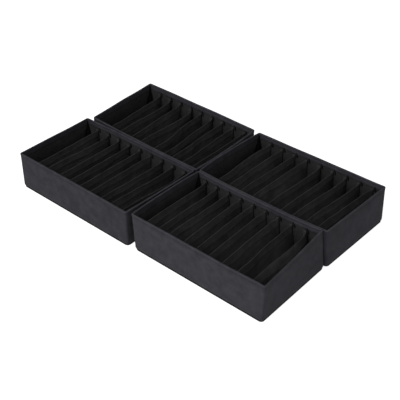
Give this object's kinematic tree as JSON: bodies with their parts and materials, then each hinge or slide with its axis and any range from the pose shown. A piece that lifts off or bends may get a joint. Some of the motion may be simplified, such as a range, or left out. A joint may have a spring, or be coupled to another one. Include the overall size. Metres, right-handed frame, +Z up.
{
  "type": "drawer organiser set",
  "caption": "Low open fabric boxes with slack cloth dividers, for sorting small clothes in a drawer; each has board-stiffened walls and a hinged base panel.",
  "frame": {"origin": "on the standing surface, under the middle of the set", "axes": "+X along the long walls, +Y away from the viewer to the back row, +Z up"},
  "size_m": [0.7678, 0.4738, 0.1],
  "materials": {
    "cover_fabric": "black spunbond non-woven, matt",
    "lining_fabric": "black spunbond non-woven, matt",
    "divider_fabric": "black spunbond non-woven, doubled, matt",
    "base_fabric": "black spunbond non-woven, matt",
    "wall_board": "grey-brown solid board",
    "base_board": "grey-brown solid board"
  },
  "bodies": {
    "front_left_box": {"front_left_outer_cover": "cover_fabric", "front_left_lining": "lining_fabric", "front_left_long_boards": "wall_board", "front_left_end_boards": "wall_board", "front_left_divider_1": "divider_fabric", "front_left_divider_2": "divider_fabric", "front_left_divider_3": "divider_fabric", "front_left_divider_4": "divider_fabric", "front_left_divider_5": "divider_fabric", "front_left_divider_6": "divider_fabric", "front_left_divider_7": "divider_fabric", "front_left_divider_8": "divider_fabric", "front_left_divider_9": "divider_fabric"},
    "front_left_base_flap": {"front_left_base_board": "base_board", "front_left_base_cover": "base_fabric"},
    "front_right_box": {"front_right_outer_cover": "cover_fabric", "front_right_lining": "lining_fabric", "front_right_long_boards": "wall_board", "front_right_end_boards": "wall_board", "front_right_divider_1": "divider_fabric", "front_right_divider_2": "divider_fabric", "front_right_divider_3": "divider_fabric", "front_right_divider_4": "divider_fabric", "front_right_divider_5": "divider_fabric", "front_right_divider_6": "divider_fabric", "front_right_divider_7": "divider_fabric", "front_right_divider_8": "divider_fabric", "front_right_divider_9": "divider_fabric"},
    "front_right_base_flap": {"front_right_base_board": "base_board", "front_right_base_cover": "base_fabric"},
    "back_left_box": {"back_left_outer_cover": "cover_fabric", "back_left_lining": "lining_fabric", "back_left_long_boards": "wall_board", "back_left_end_boards": "wall_board", "back_left_divider_1": "divider_fabric", "back_left_divider_2": "divider_fabric", "back_left_divider_3": "divider_fabric", "back_left_divider_4": "divider_fabric", "back_left_divider_5": "divider_fabric", "back_left_divider_6": "divider_fabric", "back_left_divider_7": "divider_fabric", "back_left_divider_8": "divider_fabric", "back_left_divider_9": "divider_fabric"},
    "back_left_base_flap": {"back_left_base_board": "base_board", "back_left_base_cover": "base_fabric"},
    "back_right_box": {"back_right_outer_cover": "cover_fabric", "back_right_lining": "lining_fabric", "back_right_long_boards": "wall_board", "back_right_end_boards": "wall_board", "back_right_divider_1": "divider_fabric", "back_right_divider_2": "divider_fabric", "back_right_divider_3": "divider_fabric", "back_right_divider_4": "divider_fabric", "back_right_divider_5": "divider_fabric", "back_right_divider_6": "divider_fabric", "back_right_divider_7": "divider_fabric", "back_right_divider_8": "divider_fabric", "back_right_divider_9": "divider_fabric"},
    "back_right_base_flap": {"back_right_base_board": "base_board", "back_right_base_cover": "base_fabric"}
  },
  "joints": [
    {"name": "front_left_lift", "type": "slide", "parent": "front_right_box", "child": "front_left_box", "axis": [0, 0, 1], "range_m": [0, 0.15]},
    {"name": "front_left_base_hinge", "type": "hinge", "parent": "front_left_box", "child": "front_left_base_flap", "pos_m": [-0.19585, -0.2369, 0.004], "axis": [-1, 0, 0], "range_deg": [0, 180]},
    {"name": "front_right_base_hinge", "type": "hinge", "parent": "front_right_box", "child": "front_right_base_flap", "pos_m": [0.19365, -0.2332, 0.004], "axis": [-1, 0, 0], "range_deg": [0, 180]},
    {"name": "back_left_lift", "type": "slide", "parent": "front_right_box", "child": "back_left_box", "axis": [0, 0, 1], "range_m": [0, 0.15]},
    {"name": "back_left_base_hinge", "type": "hinge", "parent": "back_left_box", "child": "back_left_base_flap", "pos_m": [-0.19365, 0.2332, 0.004], "axis": [1, 0, 0], "range_deg": [0, 180]},
    {"name": "back_right_lift", "type": "slide", "parent": "front_right_box", "child": "back_right_box", "axis": [0, 0, 1], "range_m": [0, 0.15]},
    {"name": "back_right_base_hinge", "type": "hinge", "parent": "back_right_box", "child": "back_right_base_flap", "pos_m": [0.19585, 0.2369, 0.004], "axis": [1, 0, 0], "range_deg": [0, 180]}
  ]
}
